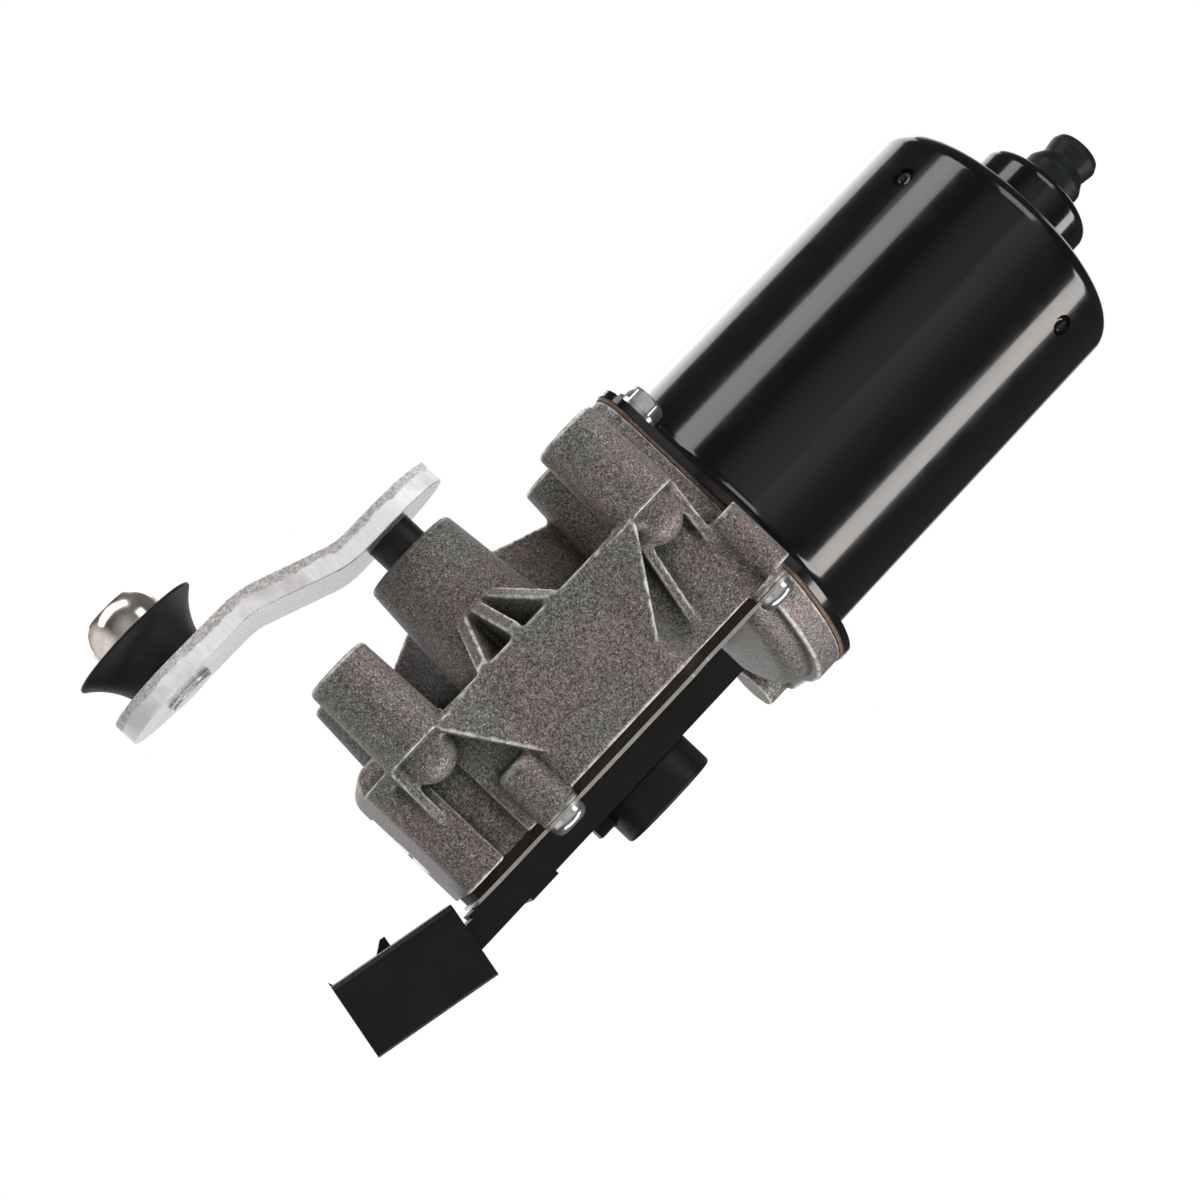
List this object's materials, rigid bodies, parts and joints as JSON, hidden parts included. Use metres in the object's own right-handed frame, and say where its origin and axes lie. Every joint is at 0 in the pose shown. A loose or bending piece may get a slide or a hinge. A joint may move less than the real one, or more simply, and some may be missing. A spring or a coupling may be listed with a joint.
{
  "type": "wiper motor",
  "caption": "Windscreen wiper motor: worm gearbox in a die-cast housing, bolted-on steel motor can, plug socket and a cranked arm ending in a ball stud.",
  "frame": {"origin": "centre of the four mounting holes, in the plane of the mounting boss faces", "axes": "+Z along the output shaft from the gearbox towards the crank arm, +X along the motor axis towards the closed end of the can, +Y from the output shaft towards the motor axis"},
  "size_m": [0.2289, 0.0902, 0.1069],
  "materials": {
    "cast_alloy": "grainy die-cast, matt",
    "zinc_sheet": "zinc plated sheet",
    "zinc_fastener": "bright zinc plated",
    "zinc_arm": "pale blue zinc plated",
    "brown_gasket": "pressed fibre",
    "black_paint": "gloss black",
    "black_rubber": "matt",
    "black_plastic": "moulded, fine texture",
    "white_plastic": "natural acetal",
    "ferrite": "ground ferrite",
    "bronze": "sintered bronze",
    "bearing_steel": "ground",
    "core_steel": "stacked laminations",
    "spring_steel": "spring steel",
    "dark_steel": "black phosphated",
    "bright_chrome": "polished",
    "brass": "stamped",
    "copper": "turned copper",
    "copper_wire": "enamelled wire",
    "brown_laminate": "moulded phenolic",
    "carbon": "pressed carbon"
  },
  "bodies": {
    "housing": {"gearbox_housing": "cast_alloy", "cover_plate": "zinc_sheet", "cover_gasket": "brown_gasket", "cover_screws": "zinc_fastener", "motor_can": "black_paint", "flange_gasket": "brown_gasket", "motor_bolts": "zinc_fastener", "vent_nozzle": "black_rubber", "field_magnets": "ferrite", "rear_bush": "bronze", "bush_retainer": "zinc_sheet", "bearing_outer_ring": "bearing_steel", "bearing_balls": "bearing_steel", "brush_plate": "brown_laminate", "brush_holders": "brass", "brushes": "carbon", "brush_springs": "spring_steel", "end_bush": "bronze", "thrust_adjuster": "zinc_fastener", "upper_shaft_bush": "bronze", "lower_shaft_bush": "bronze", "shaft_seal": "black_rubber", "thrust_washer": "spring_steel", "contact_carrier": "black_plastic", "terminal_blades": "brass", "contact_fingers": "brass", "park_switch_cap": "black_plastic"},
    "crank": {"output_shaft": "dark_steel", "worm_wheel": "white_plastic", "park_rotor": "white_plastic", "park_ring": "brass", "crank_arm": "zinc_arm", "ball_stud": "bright_chrome", "ball_boot": "black_rubber"},
    "armature": {"armature_shaft": "bearing_steel", "lamination_stack": "core_steel", "end_turns": "copper_wire", "slot_windings": "copper_wire", "commutator_segments": "copper", "commutator_hub": "brown_laminate", "bearing_inner_ring": "bearing_steel"}
  },
  "joints": [
    {"name": "output_turn", "type": "hinge", "parent": "housing", "child": "crank", "pos_m": [-0.003, 0, 0], "axis": [0, 0, 1], "continuous": true},
    {"name": "armature_spin", "type": "hinge", "parent": "housing", "child": "armature", "pos_m": [0, 0.0264, -0.0325], "axis": [1, 0, 0], "continuous": true}
  ],
  "couplings": [
    {"joint": "armature_spin", "follows": "output_turn", "ratio": 48}
  ]
}
